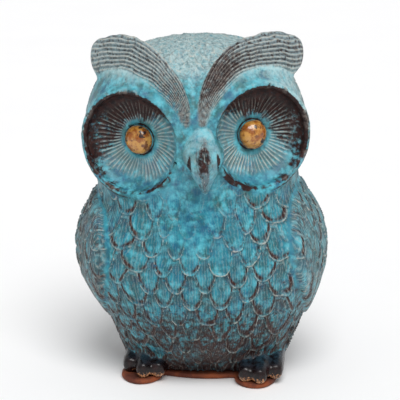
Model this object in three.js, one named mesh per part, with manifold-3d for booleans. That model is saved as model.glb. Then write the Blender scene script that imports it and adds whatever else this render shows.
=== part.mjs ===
// A hand-built glazed owl figurine: the clay pieces a potter makes before luting them together.
// Units are millimetres, +Z is up and the owl looks along -Y; "left" is the owl's own left, +X.
import * as THREE from 'three';
import { mergeVertices } from 'three/addons/utils/BufferGeometryUtils.js';
import Module from 'manifold-3d';

const wasm = await Module();
wasm.setup();

const DEGREE = Math.PI / 180;
const GAP = 0.3;

// The standing figure: its lean to the owl's right and where its foot sits over the slab.
const LEAN = 2.8 * DEGREE;
const FIGURE_X = 3.2;
const FIGURE_Y = 3.2;
const HEAD_TURN = 6 * DEGREE;
const NECK_LOW = 92;
const NECK_HIGH = 116;

// Horizontal sections of the hollow body and head: height, half width, front depth, back depth.
const STATIONS = [
  [-4, 35, 16, 33],
  [4, 40, 20.5, 36.5],
  [12, 44.5, 30, 40],
  [24, 50, 40, 43.5],
  [40, 56, 47.5, 46.5],
  [55, 60.5, 50.5, 47.5],
  [68, 62, 51.5, 47.5],
  [82, 59.5, 50, 46.5],
  [95, 53.5, 46.5, 43.5],
  [104, 51.5, 44.5, 41.5],
  [114, 54, 45.5, 41.5],
  [130, 57.5, 47.5, 42.5],
  [144, 55.3, 46.5, 42],
  [157, 49.5, 42, 38.5],
  [165.5, 42, 34, 32.5],
  [172, 31.5, 24, 24],
  [175.9, 18.5, 13.5, 14.5],
  [177.7, 0, 0, 0],
];
const BODY_POWER = 2.15;
const FACE_POWER = 2.8;
const RINGS = 24;
const SPOKES = 36;
const WALL = 6;
const PARTING_Y = 4;
// The owl's right flank is pressed a little flat just above the foot: how much, at what height, how high.
const FLAT_SHARE = 0.06;
const FLAT_HEIGHT = 32;
const FLAT_SPAN = 14;

const SLAB_THICKNESS = 3;
const SLAB_X = 0.8;
const SLAB_Y = 6.7;
const SLAB_HALF_WIDTH = 40.5;
const SLAB_HALF_DEPTH = 29.3;
const VENT_RADIUS = 6;
const LOBE_X = 29.6;
const LOBE_Y = -19.5;
const LOBE_HALF_WIDTH = 11;
const LOBE_HALF_DEPTH = 14.5;

const DISC_RADIUS = 27;
const DISC_DEPTH = 12;
const DISC_SEAT = 7.2;
const DISC_CLAY = 3.5;
const DISC_X = 33;
const DISC_Y = -36.5;
const DISC_Z = 130.2;
const DISC_SPLAY = 27.5 * DEGREE;
const DISC_LIP = 0.8;
const DISC_EDGE = 1.8;
// The cup's rounded back: a straight band behind the rim, then two bends, as shares of radius and depth.
const CUP_BAND = 2;
const CUP_HIP = { radius: 0.82, depth: 0.62 };
const CUP_FOOT = { radius: 0.5, depth: 0.96 };
// How squarely the cup's inside turns from its walls into its flat seat.
const CUP_FULLNESS = 2.2;
const DISC_SPOKES = 30;
const BEAD_RADIUS = 7.2;
const BEAD_BULGE = 5.6;
const BEAD_BAND = 1.2;

const BEAK_X = 3.6;
const BEAK_TOP = 138.5;
const BEAK_TIP = 105.5;
const BEAK_HALF_WIDTH = 9.6;
const BEAK_SEAT = 46.5;
const BEAK_REACH = 57;
// Toward its tip the beak narrows, thins and tucks back, between these shares of its half height below
// its middle.
const BEAK_BEND = { from: -0.35, to: 1.05 };
const BEAK_NARROWING = 0.62;
const BEAK_THINNING = 0.25;
const BEAK_TUCK = 2.2;

// A wing is thickest at its middle height and thins out over the span above and below it, down to a share.
const WING_THICKNESS = 4.4;
const WING_THIN_SHARE = 0.4;
const WING_MIDDLE = { left: 57, right: 66 };
const WING_SPAN = 46;
const WING_SHIFT = { left: 2, right: -2.5 };
const TAIL_THICKNESS = 4.4;

const FOOT_X = 30.4;
const TOE_HALF_WIDTH = 3.7;
const TOE_HALF_HEIGHT = 4.8;
const TOE_LENGTH = 25;
const TOE_FRONT = -33.5;
const TOE_SPREAD = 7.2;
const TOE_SPLAY = 0.6;
// Heights of a toe's middle at its front, half way and back, as shares of its half height.
const TOE_RISE = [0.75, 1.15, 1.7];
// How much thicker a toe grows from its front to its back, as shares of its half height.
const TOE_SWELL = { front: 0.9, back: 1.2 };
const TOES = [
  { place: 'inner', step: -1, setBack: 2.2 },
  { place: 'middle', step: 0, setBack: 0 },
  { place: 'outer', step: 1, setBack: 8 },
];

// A brow ridge's middle line from the beak outward, before the stretch that forms the ear tuft.
const BROW_SPOTS = [[3.6, -47.5, 139.5], [6.6, -45.5, 151], [13, -40, 160], [22.5, -31, 167.5]];
// A brow ridge is a thin roll that swells into the ear tuft: half width and half thickness at either end.
const TUFT_HALF_WIDTH = { beak: 1.6, ear: 13 };
const TUFT_HALF_THICKNESS = { beak: 2.4, ear: 8 };
const TUFT_BEND = 16;
const TUFT_HEIGHT = 170;
// How far out each ear tuft ends, and how much its end lies above or below the usual height.
const TUFT_ENDS = {
  left: { reach: 55, rise: -4.5 },
  right: { reach: 50, rise: -1 },
};

// How full a roll of clay is toward its round ends: less is blunter.
const ROLL_END_POWER = 0.3;

// A closed body with its faces pointing out, as the boolean library needs it.
function asSolid(geometry) {
  const bare = geometry.index ? geometry.clone() : mergeVertices(geometry);
  bare.deleteAttribute('normal');
  bare.deleteAttribute('uv');
  const merged = mergeVertices(bare, 1e-3);
  const corners = merged.attributes.position.array;
  const kept = [];
  let sixVolumes = 0;
  const [a, b, c] = [new THREE.Vector3(), new THREE.Vector3(), new THREE.Vector3()];
  for (let i = 0; i < merged.index.count; i += 3) {
    const [p, q, r] = [merged.index.getX(i), merged.index.getX(i + 1), merged.index.getX(i + 2)];
    if (p === q || q === r || p === r) continue;
    kept.push(p, q, r);
    a.fromArray(corners, 3 * p);
    b.fromArray(corners, 3 * q);
    c.fromArray(corners, 3 * r);
    sixVolumes += a.dot(b.cross(c));
  }
  if (sixVolumes < 0) kept.reverse();
  const vertProperties = new Float32Array(corners);
  const triVerts = new Uint32Array(kept);
  return new wasm.Manifold(new wasm.Mesh({ numProp: 3, vertProperties, triVerts }));
}

function asGeometry(solid) {
  const mesh = solid.getMesh();
  const geometry = new THREE.BufferGeometry();
  geometry.setAttribute('position', new THREE.BufferAttribute(mesh.vertProperties, 3));
  geometry.setIndex(new THREE.BufferAttribute(mesh.triVerts, 1));
  geometry.computeVertexNormals();
  return geometry;
}

// Moves every vertex of a geometry by a function of its old place.
function reshape(geometry, move) {
  const position = geometry.attributes.position;
  const point = new THREE.Vector3();
  for (let i = 0; i < position.count; i += 1) {
    move(point.fromBufferAttribute(position, i), i);
    position.setXYZ(i, point.x, point.y, point.z);
  }
  return geometry;
}

const widthCurve = new THREE.CatmullRomCurve3(
  STATIONS.map(([z, half, front]) => new THREE.Vector3(half, front, z)), false, 'catmullrom');
const backCurve = new THREE.CatmullRomCurve3(
  STATIONS.map(([z, , , back]) => new THREE.Vector3(back, 0, z)), false, 'catmullrom');

// The filled form of body and head, grown or shrunk by a margin, in the frame of another piece.
function bodyBlock(margin, toFrame = new THREE.Matrix4(), taper = () => 1) {
  const rings = Array.from({ length: RINGS + 1 }, (unused, i) => {
    const u = i / RINGS;
    const front = widthCurve.getPoint(u);
    return { half: front.x, front: front.y, back: backCurve.getPoint(u).x, z: front.z };
  });
  const lift = margin / rings[RINGS].z;
  const outline = rings.map((ring, i) => new THREE.Vector2(i === RINGS ? 0 : 1, ring.z));
  outline.unshift(new THREE.Vector2(0, rings[0].z));
  const lathe = new THREE.LatheGeometry(outline, SPOKES);
  reshape(lathe, (point, index) => {
    const ring = rings[Math.max(0, (index % outline.length) - 1)];
    const angle = Math.atan2(point.z, point.x);
    const reach = Math.hypot(point.x, point.z);
    const blend = THREE.MathUtils.smoothstep(ring.z, NECK_LOW, NECK_HIGH);
    const isFront = point.z < 0;
    const power = isFront ? THREE.MathUtils.lerp(BODY_POWER, FACE_POWER, blend) : BODY_POWER;
    const bulge = (Math.abs(Math.cos(angle)) ** power + Math.abs(Math.sin(angle)) ** power) ** (-1 / power);
    const grown = reach > 0 ? margin * taper(ring.z) : 0;
    const pressed = FLAT_SHARE * Math.exp(-(((ring.z - FLAT_HEIGHT) / FLAT_SPAN) ** 2));
    const half = Math.cos(angle) < 0 ? ring.half * (1 - pressed) : ring.half;
    const x = reach * bulge * Math.cos(angle) * half + grown * Math.cos(angle);
    const depth = isFront ? ring.front : ring.back;
    const y = reach * bulge * Math.sin(angle) * depth + grown * Math.sin(angle);
    const turn = HEAD_TURN * blend;
    point.set(
      x * Math.cos(turn) - y * Math.sin(turn),
      x * Math.sin(turn) + y * Math.cos(turn),
      ring.z * (1 + lift),
    );
  });
  return asSolid(lathe.applyMatrix4(toFrame));
}

function box(width, depth, height, x, y, z) {
  return new THREE.BoxGeometry(width, depth, height).translate(x, y, z);
}

const REACH = 400;
const figureFrame = new THREE.Matrix4().makeRotationY(-LEAN).setPosition(FIGURE_X, FIGURE_Y, 0);
const toFigure = figureFrame.clone().invert();
const toHead = new THREE.Matrix4().makeRotationZ(-HEAD_TURN);
const fromHead = new THREE.Matrix4().makeRotationZ(HEAD_TURN);

// Everything below the slab's upper face, in the leaning figure's frame.
const underSlab = () => asSolid(
  box(REACH, REACH, REACH, 0, 0, SLAB_THICKNESS + GAP - REACH / 2).applyMatrix4(toFigure));

const sides = [
  { side: 'left', sign: 1 },
  { side: 'right', sign: -1 },
];

// The back of a facial disc's cup in profile, from behind its rim to its middle.
function cupBack(radius, bottom) {
  return [
    new THREE.Vector2(radius, CUP_BAND),
    new THREE.Vector2(radius * CUP_HIP.radius, bottom * CUP_HIP.depth),
    new THREE.Vector2(radius * CUP_FOOT.radius, bottom * CUP_FOOT.depth),
    new THREE.Vector2(0, bottom),
  ];
}

// The round pocket that a facial disc is set into, open to the front.
function discPocket(sign, margin = GAP, front = DISC_RADIUS) {
  const radius = DISC_RADIUS + margin;
  const outline = [new THREE.Vector2(0, -front), new THREE.Vector2(radius, -front)];
  outline.push(...cupBack(radius, DISC_DEPTH + DISC_CLAY + margin));
  const lathe = new THREE.LatheGeometry(outline, DISC_SPOKES);
  return lathe.rotateZ(sign * DISC_SPLAY).translate(sign * DISC_X, DISC_Y, DISC_Z);
}

// Two press-moulded halves with a parting line round the sides, open underneath.
function shellHalf(isFront) {
  const away = isFront ? 1 : -1;
  const edge = PARTING_Y + away * (REACH / 2 - GAP / 2);
  let half = bodyBlock(0).subtract(bodyBlock(-WALL)).subtract(underSlab());
  half = half.subtract(asSolid(box(REACH, REACH, REACH, 0, edge, 0)));
  if (isFront) {
    for (const { sign } of sides) {
      half = half.subtract(asSolid(discPocket(sign).applyMatrix4(fromHead)));
    }
  }
  return asGeometry(half);
}

function ellipse(x, y, halfWidth, halfDepth) {
  const shape = new THREE.Shape();
  shape.absellipse(x, y, halfWidth, halfDepth, 0, 2 * Math.PI);
  return shape;
}

// The slab: an oval with a lobe under each foot and one vent hole for the firing.
function slab() {
  const options = { depth: SLAB_THICKNESS, bevelEnabled: false, curveSegments: 24 };
  const plate = (shape) => asSolid(new THREE.ExtrudeGeometry(shape, options));
  let solid = plate(ellipse(0, 0, SLAB_HALF_WIDTH, SLAB_HALF_DEPTH));
  for (const { sign } of sides) {
    solid = solid.add(plate(ellipse(sign * LOBE_X, LOBE_Y - SLAB_Y, LOBE_HALF_WIDTH, LOBE_HALF_DEPTH)));
  }
  const vent = new THREE.CylinderGeometry(VENT_RADIUS, VENT_RADIUS, REACH, 24).rotateX(Math.PI / 2);
  return asGeometry(solid.subtract(asSolid(vent)));
}

// A shallow cup with a flat seat for the eye bead at its middle and a rounded rim.
function facialDisc() {
  const steps = 6;
  const outline = [new THREE.Vector2(0, DISC_DEPTH)];
  for (let i = 0; i <= steps; i += 1) {
    const r = THREE.MathUtils.lerp(DISC_SEAT, DISC_RADIUS - DISC_EDGE, i / steps);
    const across = (r - DISC_SEAT) / (DISC_RADIUS - DISC_EDGE - DISC_SEAT);
    outline.push(new THREE.Vector2(r, DISC_DEPTH * Math.sqrt(1 - across ** CUP_FULLNESS)));
  }
  outline.push(new THREE.Vector2(DISC_RADIUS - DISC_EDGE / 2, -DISC_LIP), new THREE.Vector2(DISC_RADIUS, 0));
  outline.push(...cupBack(DISC_RADIUS, DISC_DEPTH + DISC_CLAY));
  return new THREE.LatheGeometry(outline, DISC_SPOKES);
}

// A domed bead with a flat back.
function eyeBead() {
  const steps = 5;
  const outline = [new THREE.Vector2(0, DISC_DEPTH - GAP)];
  for (let i = 0; i <= steps; i += 1) {
    const angle = (i / steps) * Math.PI / 2;
    const r = i === steps ? 0 : BEAD_RADIUS * Math.cos(angle);
    outline.push(new THREE.Vector2(r, DISC_DEPTH - GAP - BEAD_BAND - BEAD_BULGE * Math.sin(angle)));
  }
  return new THREE.LatheGeometry(outline, 18);
}

// A round-ended roll of clay along a path; its half width and half thickness follow the path.
function roll(path, halfWidth, halfThickness, outward, around, along) {
  const sphere = new THREE.SphereGeometry(1, around, along);
  const point = new THREE.Vector3();
  return reshape(sphere, (place) => {
    const t = THREE.MathUtils.clamp((1 - place.y) / 2, 0, 1);
    const radial = Math.hypot(place.x, place.z);
    const tangent = path.getTangent(t);
    const thick = outward(t).projectOnPlane(tangent).normalize();
    const wide = new THREE.Vector3().crossVectors(tangent, thick);
    const round = radial > 1e-6 ? radial ** ROLL_END_POWER / radial : 0;
    point.copy(path.getPoint(t));
    point.addScaledVector(wide, place.x * round * halfWidth(t));
    point.addScaledVector(thick, place.z * round * halfThickness(t));
    place.copy(point);
  });
}

// One brow ridge: thin above the beak, sweeping up and out into a blunt ear tuft.
function browTuft(sign, { reach, rise }) {
  const spots = [
    ...BROW_SPOTS, [reach - TUFT_BEND, -17.5, TUFT_HEIGHT + 1 + rise / 2], [reach, -6, TUFT_HEIGHT + rise],
  ];
  const path = new THREE.CatmullRomCurve3(spots.map(([x, y, z]) => new THREE.Vector3(sign * x, y, z)));
  const swell = (sizes, t, start) => (
    THREE.MathUtils.lerp(sizes.beak, sizes.ear, THREE.MathUtils.smoothstep(t, start, 1)));
  const halfWidth = (t) => swell(TUFT_HALF_WIDTH, t, -0.15);
  const halfThickness = (t) => swell(TUFT_HALF_THICKNESS, t, 0.4);
  const outward = (t) => new THREE.Vector3(sign * 0.15, -1, 0.6 - 0.45 * t);
  const tuft = asSolid(roll(path, halfWidth, halfThickness, outward, 12, 16));
  const cut = tuft.subtract(bodyBlock(GAP, toHead));
  return asGeometry(cut.subtract(asSolid(discPocket(sign))));
}

// The beak: a bulb above and a hooked tip below.
function beak(tufts) {
  const middle = (BEAK_TOP + BEAK_TIP) / 2;
  const half = (BEAK_TOP - BEAK_TIP) / 2;
  const sphere = new THREE.SphereGeometry(1, 16, 12);
  reshape(sphere, (place) => {
    const low = THREE.MathUtils.smoothstep(-place.y, BEAK_BEND.from, BEAK_BEND.to);
    const x = BEAK_X + place.x * BEAK_HALF_WIDTH * (1 - BEAK_NARROWING * low);
    const thick = (BEAK_REACH - BEAK_SEAT) * (1 - BEAK_THINNING * low);
    const y = place.z * thick - BEAK_SEAT - BEAK_TUCK * low;
    place.set(x, y, middle + place.y * half);
  });
  let solid = asSolid(sphere).subtract(bodyBlock(GAP, toHead));
  for (const { sign } of sides) {
    solid = solid.subtract(asSolid(discPocket(sign, GAP, DISC_LIP + GAP)));
  }
  for (const tuft of tufts) {
    const grown = tuft.clone().translate(0, 0, -2 * GAP);
    solid = solid.subtract(asSolid(grown)).subtract(asSolid(tuft));
  }
  const [largest] = solid.decompose().sort((p, q) => q.volume() - p.volume());
  return asGeometry(largest);
}

// A folded wing: a thick leaf of clay laid over the flank, its tip pointing down and back.
function wing(side, sign) {
  const leaf = new THREE.Shape();
  leaf.moveTo(-6, 101);
  leaf.bezierCurveTo(-24, 99, -36, 86, -35.5, 68);
  leaf.bezierCurveTo(-35, 51, -20, 37, -2, 28);
  leaf.bezierCurveTo(8, 22, 20, 19, 26, 21);
  leaf.bezierCurveTo(32, 40, 33, 62, 27, 80);
  leaf.bezierCurveTo(22, 93, 10, 102, -6, 101);
  const options = { depth: REACH, bevelEnabled: false, curveSegments: 7 };
  const prism = new THREE.ExtrudeGeometry(leaf, options);
  prism.rotateX(Math.PI / 2).rotateZ(Math.PI / 2).translate(sign > 0 ? 0 : -REACH, WING_SHIFT[side], 0);
  const taper = (z) => Math.max(WING_THIN_SHARE, 1 - ((z - WING_MIDDLE[side]) / WING_SPAN) ** 2);
  const layer = bodyBlock(WING_THICKNESS, new THREE.Matrix4(), taper).subtract(bodyBlock(GAP));
  return asGeometry(layer.intersect(asSolid(prism)));
}

// The tail: a short fan of clay low on the back.
function tail() {
  const fan = new THREE.Shape();
  fan.moveTo(-13, 8);
  fan.quadraticCurveTo(0, 4, 13, 8);
  fan.bezierCurveTo(14, 22, 11, 36, 0, 42);
  fan.bezierCurveTo(-11, 36, -14, 22, -13, 8);
  const options = { depth: REACH, bevelEnabled: false, curveSegments: 6 };
  const prism = new THREE.ExtrudeGeometry(fan, options).rotateX(Math.PI / 2).translate(0, REACH, 0);
  const layer = bodyBlock(TAIL_THICKNESS).subtract(bodyBlock(GAP)).subtract(underSlab());
  return asGeometry(layer.intersect(asSolid(prism)));
}

// One toe: a short roll of clay on the slab's lobe, running back under the belly.
function toe(x, frontY, splay) {
  const middle = TOE_RISE.map((share) => SLAB_THICKNESS + TOE_HALF_HEIGHT * share);
  const path = new THREE.CatmullRomCurve3([
    new THREE.Vector3(x + splay, frontY, middle[0]),
    new THREE.Vector3(x, frontY + TOE_LENGTH / 2, middle[1]),
    new THREE.Vector3(x, frontY + TOE_LENGTH, middle[2]),
  ]);
  const thickness = (t) => TOE_HALF_HEIGHT * THREE.MathUtils.lerp(TOE_SWELL.front, TOE_SWELL.back, t);
  const shape = roll(path, () => TOE_HALF_WIDTH - GAP, thickness, () => new THREE.Vector3(0, 0, 1), 10, 8);
  const clear = asSolid(shape).subtract(bodyBlock(GAP, figureFrame));
  const ground = box(REACH, REACH, REACH, 0, 0, SLAB_THICKNESS + GAP - REACH / 2);
  return asGeometry(clear.subtract(asSolid(ground)));
}

function glaze(color, roughness = 0.42) {
  return new THREE.MeshStandardMaterial({ color, roughness, metalness: 0 });
}

const turquoise = () => glaze(0x5f939b);
const thinGlaze = () => glaze(0x808d91);
const darkToe = () => glaze(0x3e2a2b, 0.25);
const amber = () => glaze(0xa37a4b, 0.2);
const rawClay = () => glaze(0x8a5238, 0.85);

function named(name, geometry, material) {
  const mesh = new THREE.Mesh(geometry, material);
  mesh.name = name;
  return mesh;
}

const owl = new THREE.Group();
const figure = new THREE.Group();
figure.position.set(FIGURE_X, FIGURE_Y, 0);
figure.rotation.y = -LEAN;
const head = new THREE.Group();
head.rotation.z = HEAD_TURN;
figure.add(head);
owl.add(figure);

const base = named('base_slab', slab(), rawClay());
base.position.set(SLAB_X, SLAB_Y, 0);
owl.add(base);

figure.add(named('front_shell', shellHalf(true), turquoise()));
figure.add(named('back_shell', shellHalf(false), turquoise()));
figure.add(named('tail', tail(), thinGlaze()));

const tuftShapes = [];
for (const { side, sign } of sides) {
  figure.add(named(`wing_${side}`, wing(side, sign), thinGlaze()));

  const tuft = browTuft(sign, TUFT_ENDS[side]);
  tuftShapes.push(tuft);
  head.add(named(`brow_tuft_${side}`, tuft, thinGlaze()));

  const disc = named(`facial_disc_${side}`, facialDisc(), turquoise());
  const bead = named(`eye_bead_${side}`, eyeBead(), amber());
  for (const mesh of [disc, bead]) {
    mesh.geometry = asGeometry(asSolid(mesh.geometry));
    mesh.position.set(sign * DISC_X, DISC_Y, DISC_Z);
    mesh.rotation.z = sign * DISC_SPLAY;
    head.add(mesh);
  }

  for (const { place, step, setBack } of TOES) {
    const x = FIGURE_X + sign * (FOOT_X + step * TOE_SPREAD);
    const shape = toe(x, TOE_FRONT + setBack - sign, sign * step * TOE_SPLAY);
    owl.add(named(`toe_${side}_${place}`, shape, darkToe()));
  }
}
head.add(named('beak', beak(tuftShapes), turquoise()));

export default owl;
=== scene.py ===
"""A glazed stoneware owl. One continuous glaze surface is grown from the CAD solids, given its feather,
rib and comb relief, and shared out among closed pieces that stand for the clay pieces they cover."""
import math

import bpy
import numpy as np
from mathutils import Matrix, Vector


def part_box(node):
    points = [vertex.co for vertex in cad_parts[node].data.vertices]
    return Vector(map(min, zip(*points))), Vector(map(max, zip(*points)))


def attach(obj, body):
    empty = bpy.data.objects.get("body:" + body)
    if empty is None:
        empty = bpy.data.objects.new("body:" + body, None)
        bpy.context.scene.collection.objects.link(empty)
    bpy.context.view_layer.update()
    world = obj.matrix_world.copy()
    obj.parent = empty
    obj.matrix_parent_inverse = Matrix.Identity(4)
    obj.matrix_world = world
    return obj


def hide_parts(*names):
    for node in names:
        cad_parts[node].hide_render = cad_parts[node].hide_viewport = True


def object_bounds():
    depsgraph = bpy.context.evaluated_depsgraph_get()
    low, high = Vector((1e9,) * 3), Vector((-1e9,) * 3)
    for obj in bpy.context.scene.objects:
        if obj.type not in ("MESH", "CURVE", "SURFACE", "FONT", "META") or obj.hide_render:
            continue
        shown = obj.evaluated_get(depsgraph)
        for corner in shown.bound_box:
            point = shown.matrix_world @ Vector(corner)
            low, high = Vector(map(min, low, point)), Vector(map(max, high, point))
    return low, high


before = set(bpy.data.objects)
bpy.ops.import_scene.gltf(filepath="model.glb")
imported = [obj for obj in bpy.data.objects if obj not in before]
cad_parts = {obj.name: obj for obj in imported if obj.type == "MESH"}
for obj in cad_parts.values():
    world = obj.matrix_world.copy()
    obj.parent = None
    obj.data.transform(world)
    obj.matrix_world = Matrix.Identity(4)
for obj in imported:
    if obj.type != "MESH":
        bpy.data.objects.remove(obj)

import openvdb

cad_low, cad_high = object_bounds()

MM = 0.001
VOXEL = 0.55
# Distances in a field are kept up to FAR in mm, and up to BAND in voxels where a surface is drawn.
FAR = 12.0
BAND = 3
GRID_MARGIN = 4.0
SEED = 7

# The figure's place on the slab, its lean and the turn of its head, as in the CAD.
FIGURE_X, FIGURE_Y = 3.2, 3.2
LEAN = math.radians(2.8)
HEAD_TURN = math.radians(6)
DISC_CENTRE = (33.0, -36.5, 130.2)
DISC_SPLAY = math.radians(27.5)
DISC_RADIUS = 27.0
FIGURE_FLOOR = 3.2

SIDES = {"left": 1, "right": -1}
BODY = ("front_shell", "back_shell")
TOES = ("inner", "middle", "outer")


# ---- small mathematics

def smoothstep(low, high, value):
    t = np.clip((value - low) / (high - low), 0, 1)
    return t * t * (3 - 2 * t)


def bell(value, centre, width):
    return np.exp(-((value - centre) / width) ** 2)


def join(a, b, blend):
    """The union of two distance fields with a fillet."""
    overlap = np.clip(blend - np.abs(a - b), 0, None) / blend
    return np.minimum(a, b) - overlap * overlap * blend / 4


def cut(a, b, blend):
    """Field a with the solid b taken out of it."""
    return -join(-a, b, blend)


def scramble(*numbers, seed=0):
    """A random value from 0 to 1 for whole numbers, always the same for the same numbers."""
    mixed = np.full(np.shape(numbers[0]), 2654435761 * (seed + SEED), np.uint64)
    for number in numbers:
        mixed = mixed * np.uint64(6364136223846793005) + np.asarray(number, np.int64).astype(np.uint64)
        mixed = mixed ^ (mixed >> np.uint64(29))
        mixed = mixed * np.uint64(1442695040888963407)
        mixed = mixed ^ (mixed >> np.uint64(32))
    return (mixed & np.uint64(0xFFFF)).astype(float) / 0xFFFF


def noise(points, size, seed=0):
    """Smooth value noise from -1 to 1 over blobs of about the given size in mm."""
    scaled = np.asarray(points, float) / size
    cell = np.floor(scaled).astype(np.int64)
    t = scaled - cell
    t = t * t * (3 - 2 * t)
    total = 0
    for corner in np.ndindex(2, 2, 2):
        weight = 1.0
        for axis in range(3):
            weight = weight * (t[:, axis] if corner[axis] else 1 - t[:, axis])
        total = total + weight * scramble(*(cell[:, axis] + corner[axis] for axis in range(3)), seed=seed)
    return 2 * total - 1


def rotate_z(points, angle):
    c, s = math.cos(angle), math.sin(angle)
    x, y, z = points.T
    return np.stack([c * x - s * y, s * x + c * y, z], 1)


def to_figure(points):
    """From the row frame to the upright frame of the leaning figure, in mm."""
    x, y, z = points[:, 0] - FIGURE_X, points[:, 1] - FIGURE_Y, points[:, 2]
    c, s = math.cos(LEAN), math.sin(LEAN)
    return np.stack([c * x + s * z, y, c * z - s * x], 1)


def to_head(points):
    return rotate_z(to_figure(points), -HEAD_TURN)


def disc_polar(points, sign):
    """Distance from a facial disc's axis, depth behind its rim plane and angle round it from straight up."""
    head = to_head(points) - np.array([sign * DISC_CENTRE[0], *DISC_CENTRE[1:]])
    local = rotate_z(head, -sign * DISC_SPLAY)
    across = sign * local[:, 0]
    return np.hypot(across, local[:, 2]), local[:, 1], np.arctan2(across, local[:, 2])


# ---- distance fields on one grid

GRID_LOW = np.floor((np.array(cad_low) / MM - GRID_MARGIN) / VOXEL).astype(int)
GRID_HIGH = np.ceil((np.array(cad_high) / MM + GRID_MARGIN) / VOXEL).astype(int)
GRID_SHAPE = tuple(GRID_HIGH - GRID_LOW)
TRANSFORM = openvdb.createLinearTransform(voxelSize=VOXEL)


def node_triangles(name):
    """A CAD node's corners in mm and its triangles."""
    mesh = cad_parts[name].data
    mesh.calc_loop_triangles()
    points = np.empty(len(mesh.vertices) * 3, np.float32)
    mesh.vertices.foreach_get("co", points)
    triangles = np.empty(len(mesh.loop_triangles) * 3, np.int32)
    mesh.loop_triangles.foreach_get("vertices", triangles)
    return points.reshape(-1, 3) / MM, triangles.reshape(-1, 3).astype(np.uint32)


def grid_field(points, **faces):
    """The distance field of a closed mesh given in mm, with triangles or quads."""
    grid = openvdb.FloatGrid.createLevelSetFromPolygons(
        points.astype(np.float32), transform=TRANSFORM, halfWidth=FAR / VOXEL, **faces)
    field = np.full(GRID_SHAPE, FAR, np.float32)
    grid.copyToArray(field, ijk=tuple(int(v) for v in GRID_LOW))
    return field


def node_field(name):
    points, triangles = node_triangles(name)
    return grid_field(points, triangles=triangles)


def surface(field):
    """The zero surface of a field, as points in mm and quads."""
    grid = openvdb.FloatGrid(background=FAR)
    grid.copyFromArray(np.clip(field, -BAND, BAND), ijk=(0, 0, 0), tolerance=0.0)
    points, quads = grid.convertToQuads(isovalue=0.0)
    return (points + GRID_LOW) * VOXEL, quads.astype(np.int64)


def sample(field, points):
    """A field's values at points in mm, between the grid's own points."""
    scaled = points / VOXEL - GRID_LOW
    cell = np.clip(np.floor(scaled).astype(int), 0, np.array(field.shape) - 2)
    t = np.clip(scaled - cell, 0, 1)
    total = 0
    for corner in np.ndindex(2, 2, 2):
        weight = 1.0
        for axis in range(3):
            weight = weight * (t[:, axis] if corner[axis] else 1 - t[:, axis])
        total = total + weight * field[tuple((cell + corner).T)]
    return total


def soften(field, radius):
    """Three box blurs, which round off facets smaller than the radius in mm."""
    reach = max(1, round(radius / VOXEL))
    for axis in (0, 1, 2) * 3:
        padded = np.pad(field, [(reach + 1, reach) if a == axis else (0, 0) for a in range(3)], mode="edge")
        total = np.cumsum(padded, axis=axis, dtype=np.float64)
        upper = np.take(total, range(2 * reach + 1, total.shape[axis]), axis)
        lower = np.take(total, range(0, total.shape[axis] - 2 * reach - 1), axis)
        field = ((upper - lower) / (2 * reach + 1)).astype(np.float32)
    return field


def enclosed(solid):
    """Where a slice-wise round hollow is walled in along both X and Y."""
    inside = np.ones_like(solid)
    for axis in (0, 1):
        before = np.maximum.accumulate(solid, axis=axis)
        after = np.flip(np.maximum.accumulate(np.flip(solid, axis), axis=axis), axis)
        inside &= before & after
    return inside


def grid_points(window):
    """The grid's points in mm inside a window of slices."""
    axes = [(np.arange(s.start, s.stop) + GRID_LOW[i]) * VOXEL for i, s in enumerate(window)]
    mesh = np.meshgrid(*axes, indexing="ij")
    return np.stack([m.ravel() for m in mesh], 1), mesh[0].shape


def grid_places(axis):
    """The grid's coordinates in mm along one axis, shaped to be used with a whole field."""
    values = (np.arange(GRID_SHAPE[axis]) + GRID_LOW[axis]) * VOXEL
    return values.reshape([-1 if a == axis else 1 for a in range(3)])


def window_round(name, margin):
    """The slices of the grid that hold one CAD node and a margin in mm round it."""
    low = np.array(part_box(name)[0]) / MM - margin
    high = np.array(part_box(name)[1]) / MM + margin
    start = np.clip(np.floor(low / VOXEL).astype(int) - GRID_LOW, 0, None)
    stop = np.minimum(np.ceil(high / VOXEL).astype(int) - GRID_LOW, GRID_SHAPE)
    return tuple(slice(int(a), int(b)) for a, b in zip(start, stop))


# ---- the smooth form

DISH_DEPTH = 11.0
DISH_RADIUS = 25.4
LIP_RADIUS = 1.4
BEAK_MIDDLE_X = 3.6
BEAK_MIDDLE_Z = 122.0
BEAK_HALF_HEIGHT = 16.5
BEAK_HALF_WIDTH = 10.6
BEAK_SEAT = 46.5
BEAK_REACH = 11.2
# How far round a disc and the beak the form is worked over, in mm.
DISC_MARGIN = 8
BEAK_MARGIN = 6
# Fillets where one piece of clay is smoothed into another, and how far facets are blurred, in mm.
WING_FILLET = 2.0
TUFT_FILLET = 6.0
TOE_FILLET = 3.0
FOOT_FILLET = 4.0
DISH_FILLET = 1.0
DISH_FILLET_AT_BEAK = 5.0
LIP_FILLET = 2.5
BEAK_FILLET = 0.9
BODY_BLUR = 2.2
WING_BLUR = 1.0
TUFT_BLUR = 1.2
TOE_BLUR = 0.6
SLAB_BLUR = 0.7
# Glaze adds this much to a toe, and the lowest slice of the body is drawn down from this height to the slab.
TOE_SWELL = 1.0
BODY_FOOT = 4.2


def dish_hollow(radius, depth):
    """The cup inside a facial disc: a shallow cone at the bottom, steep near the rim, open in front."""
    share = np.clip(radius / DISH_RADIUS, 0, 1)
    floor = DISH_DEPTH * (1 - share ** 3) ** 0.6
    flare = 0.8 * np.clip(-depth, 0, None)
    return np.maximum((depth - floor) * 0.8, radius - DISH_RADIUS - flare)


def beside_beak(angle):
    """1 on the stretch of a disc's rim that faces the beak, where the glaze runs smoothly out of the dish."""
    return bell(angle, math.radians(-85), math.radians(42))


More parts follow.
